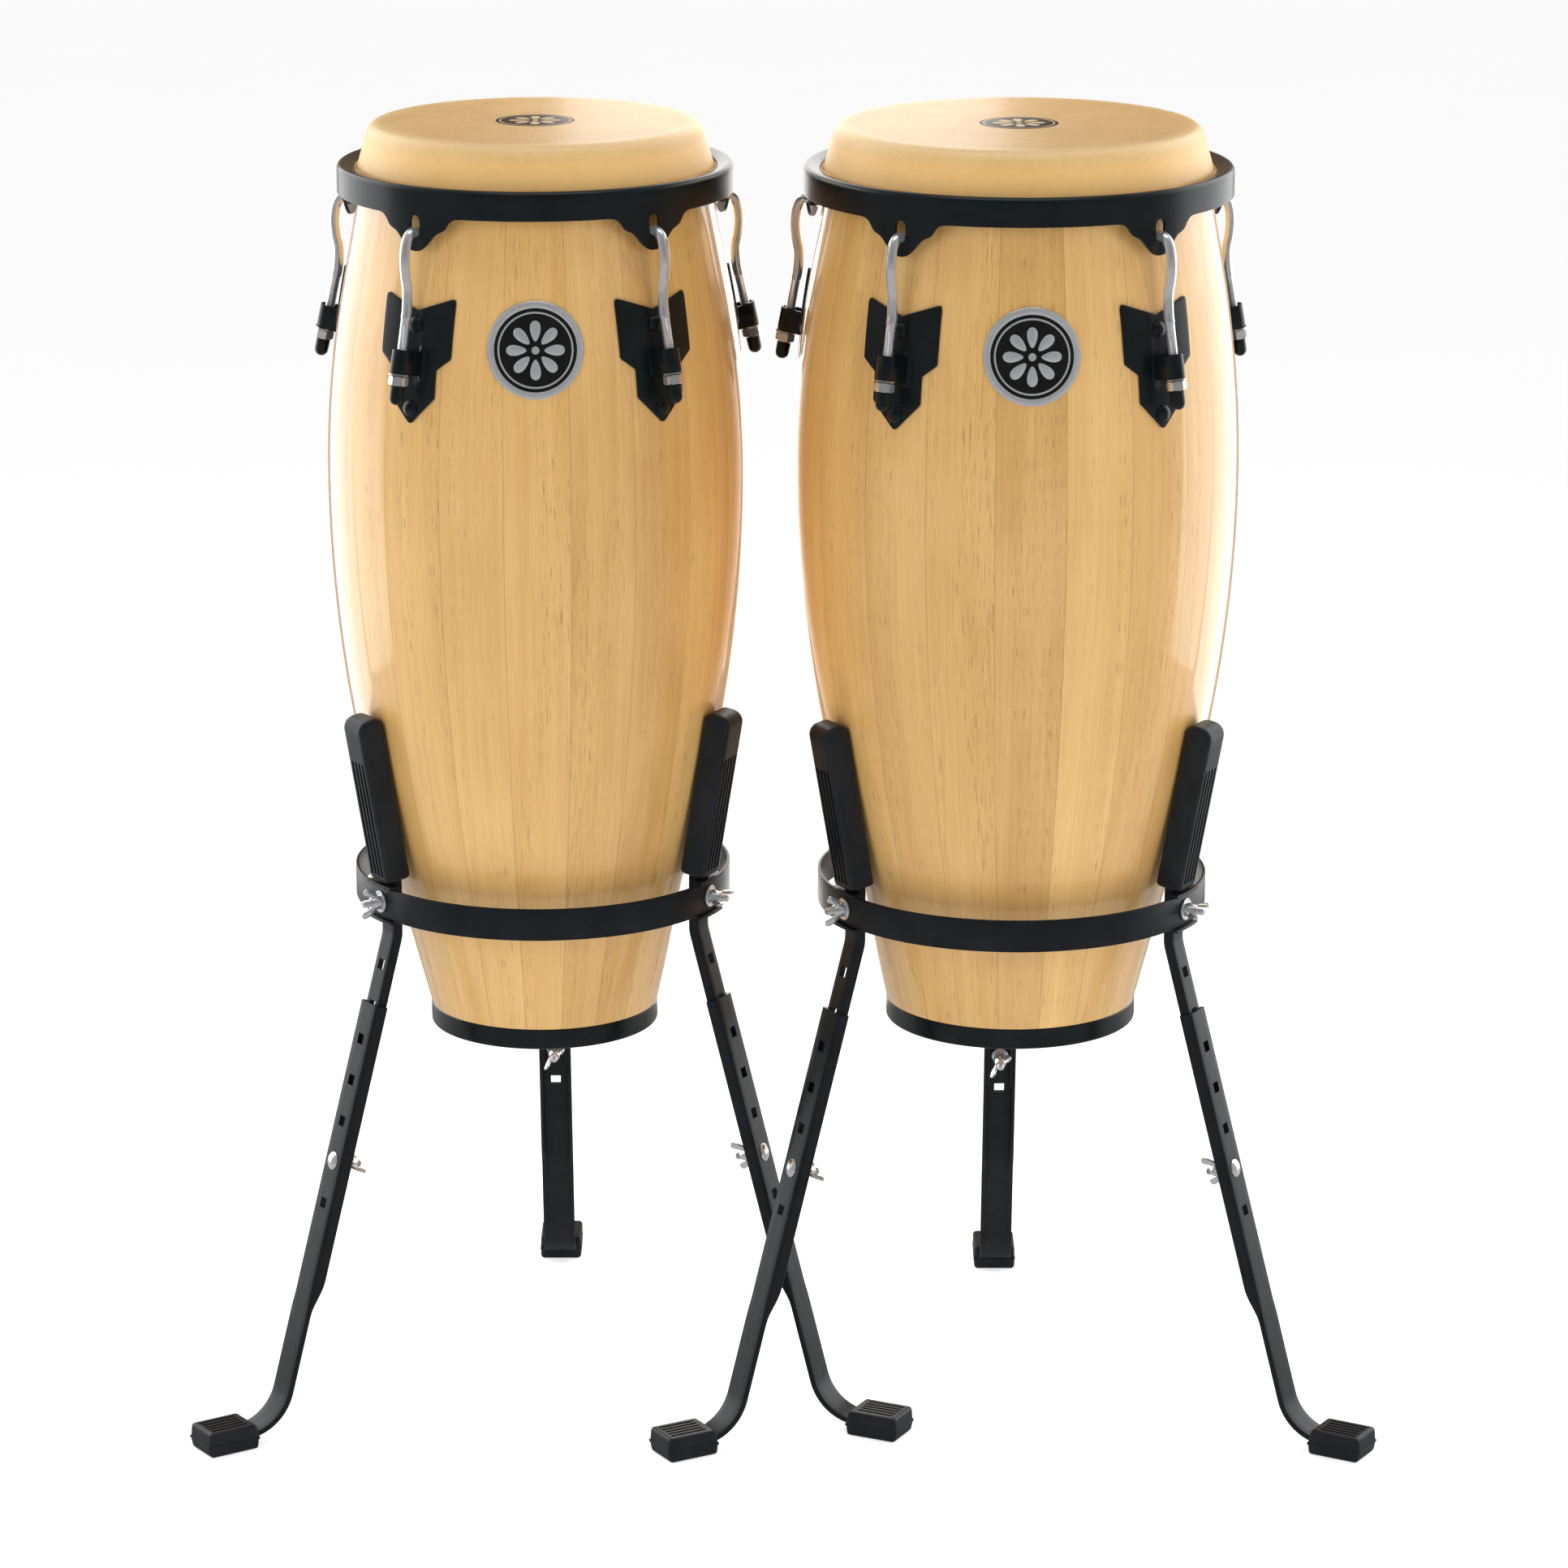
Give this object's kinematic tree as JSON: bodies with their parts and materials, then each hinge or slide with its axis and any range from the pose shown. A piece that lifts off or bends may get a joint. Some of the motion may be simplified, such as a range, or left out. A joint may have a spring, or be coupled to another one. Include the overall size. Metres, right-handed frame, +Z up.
{
  "type": "conga drums",
  "caption": "Pair of stave-shell conga drums with tensioned skin heads, each held in a height-adjustable basket stand with splayed legs.",
  "frame": {"origin": "on the floor, under the middle of the pair's outer box", "axes": "+Z up, -Y the front with the badges, +X towards the larger drum"},
  "size_m": [0.9208, 0.5148, 1.013],
  "materials": {
    "lacquered_wood": "clear gloss lacquer over pale rubber wood",
    "rawhide": "natural buffalo skin",
    "black_powder_coat": "satin black powder coat",
    "chrome": "polished",
    "black_rubber": "moulded, matt",
    "black_plastic": "moulded, satin",
    "badge_face": "glossy black face with a silver border"
  },
  "bodies": {
    "quinto_stand": {"quinto_ring": "black_powder_coat", "quinto_arms": "black_powder_coat", "quinto_pads": "black_rubber", "quinto_saddles": "black_powder_coat", "quinto_ring_bolts": "chrome"},
    "quinto_drum": {"quinto_shell": "lacquered_wood", "quinto_head_skin": "rawhide", "quinto_lug_plates": "black_powder_coat", "quinto_lug_bolts": "black_powder_coat", "quinto_lug_washers": "chrome", "quinto_base_ring": "black_plastic", "quinto_badge": "badge_face"},
    "quinto_rim_set": {"quinto_rim": "black_powder_coat", "quinto_hooks": "chrome", "quinto_hook_caps": "black_plastic", "quinto_flesh_hoop": "rawhide"},
    "quinto_tuner_1": {"quinto_tuning_nut_1": "chrome"},
    "quinto_tuner_2": {"quinto_tuning_nut_2": "chrome"},
    "quinto_tuner_3": {"quinto_tuning_nut_3": "chrome"},
    "quinto_tuner_4": {"quinto_tuning_nut_4": "chrome"},
    "quinto_tuner_5": {"quinto_tuning_nut_5": "chrome"},
    "quinto_leg_set_1": {"quinto_leg_1": "black_powder_coat", "quinto_foot_1": "black_rubber", "quinto_leg_bolt_1": "chrome"},
    "quinto_leg_set_2": {"quinto_leg_2": "black_powder_coat", "quinto_foot_2": "black_rubber", "quinto_leg_bolt_2": "chrome"},
    "quinto_leg_set_3": {"quinto_leg_3": "black_powder_coat", "quinto_foot_3": "black_rubber", "quinto_leg_bolt_3": "chrome"},
    "conga_stand": {"conga_ring": "black_powder_coat", "conga_arms": "black_powder_coat", "conga_pads": "black_rubber", "conga_saddles": "black_powder_coat", "conga_ring_bolts": "chrome"},
    "conga_drum": {"conga_shell": "lacquered_wood", "conga_head_skin": "rawhide", "conga_lug_plates": "black_powder_coat", "conga_lug_bolts": "black_powder_coat", "conga_lug_washers": "chrome", "conga_base_ring": "black_plastic", "conga_badge": "badge_face"},
    "conga_rim_set": {"conga_rim": "black_powder_coat", "conga_hooks": "chrome", "conga_hook_caps": "black_plastic", "conga_flesh_hoop": "rawhide"},
    "conga_tuner_1": {"conga_tuning_nut_1": "chrome"},
    "conga_tuner_2": {"conga_tuning_nut_2": "chrome"},
    "conga_tuner_3": {"conga_tuning_nut_3": "chrome"},
    "conga_tuner_4": {"conga_tuning_nut_4": "chrome"},
    "conga_tuner_5": {"conga_tuning_nut_5": "chrome"},
    "conga_leg_set_1": {"conga_leg_1": "black_powder_coat", "conga_foot_1": "black_rubber", "conga_leg_bolt_1": "chrome"},
    "conga_leg_set_2": {"conga_leg_2": "black_powder_coat", "conga_foot_2": "black_rubber", "conga_leg_bolt_2": "chrome"},
    "conga_leg_set_3": {"conga_leg_3": "black_powder_coat", "conga_foot_3": "black_rubber", "conga_leg_bolt_3": "chrome"}
  },
  "joints": [
    {"name": "quinto_drum_lift", "type": "slide", "parent": "quinto_stand", "child": "quinto_drum", "axis": [0, 0, 1], "range_m": [0, 0.45]},
    {"name": "quinto_rim_tension", "type": "slide", "parent": "quinto_drum", "child": "quinto_rim_set", "axis": [0, 0, 1], "range_m": [-0.003, 0]},
    {"name": "quinto_nut_1_turn", "type": "hinge", "parent": "quinto_drum", "child": "quinto_tuner_1", "pos_m": [-0.0813, -0.1959, 0.838], "axis": [-0.1361, 0.1754, 0.975], "range_deg": [0, 870]},
    {"name": "quinto_nut_2_turn", "type": "hinge", "parent": "quinto_drum", "child": "quinto_tuner_2", "pos_m": [-0.02433, 0.00021, 0.838], "axis": [-0.2089, -0.0752, 0.975], "range_deg": [0, 870]},
    {"name": "quinto_nut_3_turn", "type": "hinge", "parent": "quinto_drum", "child": "quinto_tuner_3", "pos_m": [-0.19323, 0.11499, 0.838], "axis": [0.007, -0.2219, 0.975], "range_deg": [0, 870]},
    {"name": "quinto_nut_4_turn", "type": "hinge", "parent": "quinto_drum", "child": "quinto_tuner_4", "pos_m": [-0.3546, -0.01017, 0.838], "axis": [0.2132, -0.0619, 0.975], "range_deg": [0, 870]},
    {"name": "quinto_nut_5_turn", "type": "hinge", "parent": "quinto_drum", "child": "quinto_tuner_5", "pos_m": [-0.28542, -0.20232, 0.838], "axis": [0.1248, 0.1836, 0.975], "range_deg": [0, 870]},
    {"name": "quinto_leg_1_height", "type": "slide", "parent": "quinto_stand", "child": "quinto_leg_set_1", "axis": [0.2264, 0.1504, 0.9624], "range_m": [0, 0.05]},
    {"name": "quinto_leg_2_height", "type": "slide", "parent": "quinto_stand", "child": "quinto_leg_set_2", "axis": [-0.2434, 0.1208, 0.9624], "range_m": [0, 0.05]},
    {"name": "quinto_leg_3_height", "type": "slide", "parent": "quinto_stand", "child": "quinto_leg_set_3", "axis": [0, -0.2718, 0.9624], "range_m": [0, 0.05]},
    {"name": "conga_stand_shift", "type": "slide", "parent": "quinto_stand", "child": "conga_stand", "axis": [0, -1, 0], "range_m": [0, 0.25]},
    {"name": "conga_drum_lift", "type": "slide", "parent": "conga_stand", "child": "conga_drum", "axis": [0, 0, 1], "range_m": [0, 0.45]},
    {"name": "conga_rim_tension", "type": "slide", "parent": "conga_drum", "child": "conga_rim_set", "axis": [0, 0, 1], "range_m": [-0.003, 0]},
    {"name": "conga_nut_1_turn", "type": "hinge", "parent": "conga_drum", "child": "conga_tuner_1", "pos_m": [0.29076, -0.22972, 0.84], "axis": [-0.1157, 0.1491, 0.982], "range_deg": [0, 870]},
    {"name": "conga_nut_2_turn", "type": "hinge", "parent": "conga_drum", "child": "conga_tuner_2", "pos_m": [0.35098, -0.02244, 0.84], "axis": [-0.1776, -0.0639, 0.982], "range_deg": [0, 870]},
    {"name": "conga_nut_3_turn", "type": "hinge", "parent": "conga_drum", "child": "conga_tuner_3", "pos_m": [0.17246, 0.09889, 0.84], "axis": [0.0059, -0.1886, 0.982], "range_deg": [0, 870]},
    {"name": "conga_nut_4_turn", "type": "hinge", "parent": "conga_drum", "child": "conga_tuner_4", "pos_m": [0.0019, -0.03341, 0.84], "axis": [0.1812, -0.0526, 0.982], "range_deg": [0, 870]},
    {"name": "conga_nut_5_turn", "type": "hinge", "parent": "conga_drum", "child": "conga_tuner_5", "pos_m": [0.07502, -0.2365, 0.84], "axis": [0.1061, 0.1561, 0.982], "range_deg": [0, 870]},
    {"name": "conga_leg_1_height", "type": "slide", "parent": "conga_stand", "child": "conga_leg_set_1", "axis": [0.2354, 0.1359, 0.9624], "range_m": [0, 0.05]},
    {"name": "conga_leg_2_height", "type": "slide", "parent": "conga_stand", "child": "conga_leg_set_2", "axis": [-0.2354, 0.1359, 0.9624], "range_m": [0, 0.05]},
    {"name": "conga_leg_3_height", "type": "slide", "parent": "conga_stand", "child": "conga_leg_set_3", "axis": [0, -0.2718, 0.9624], "range_m": [0, 0.05]}
  ],
  "couplings": [
    {"joint": "quinto_nut_1_turn", "follows": "quinto_rim_tension", "rad_per_m": -5026.5},
    {"joint": "quinto_nut_2_turn", "follows": "quinto_rim_tension", "rad_per_m": -5026.5},
    {"joint": "quinto_nut_3_turn", "follows": "quinto_rim_tension", "rad_per_m": -5026.5},
    {"joint": "quinto_nut_4_turn", "follows": "quinto_rim_tension", "rad_per_m": -5026.5},
    {"joint": "quinto_nut_5_turn", "follows": "quinto_rim_tension", "rad_per_m": -5026.5},
    {"joint": "conga_nut_1_turn", "follows": "conga_rim_tension", "rad_per_m": -5026.5},
    {"joint": "conga_nut_2_turn", "follows": "conga_rim_tension", "rad_per_m": -5026.5},
    {"joint": "conga_nut_3_turn", "follows": "conga_rim_tension", "rad_per_m": -5026.5},
    {"joint": "conga_nut_4_turn", "follows": "conga_rim_tension", "rad_per_m": -5026.5},
    {"joint": "conga_nut_5_turn", "follows": "conga_rim_tension", "rad_per_m": -5026.5}
  ]
}
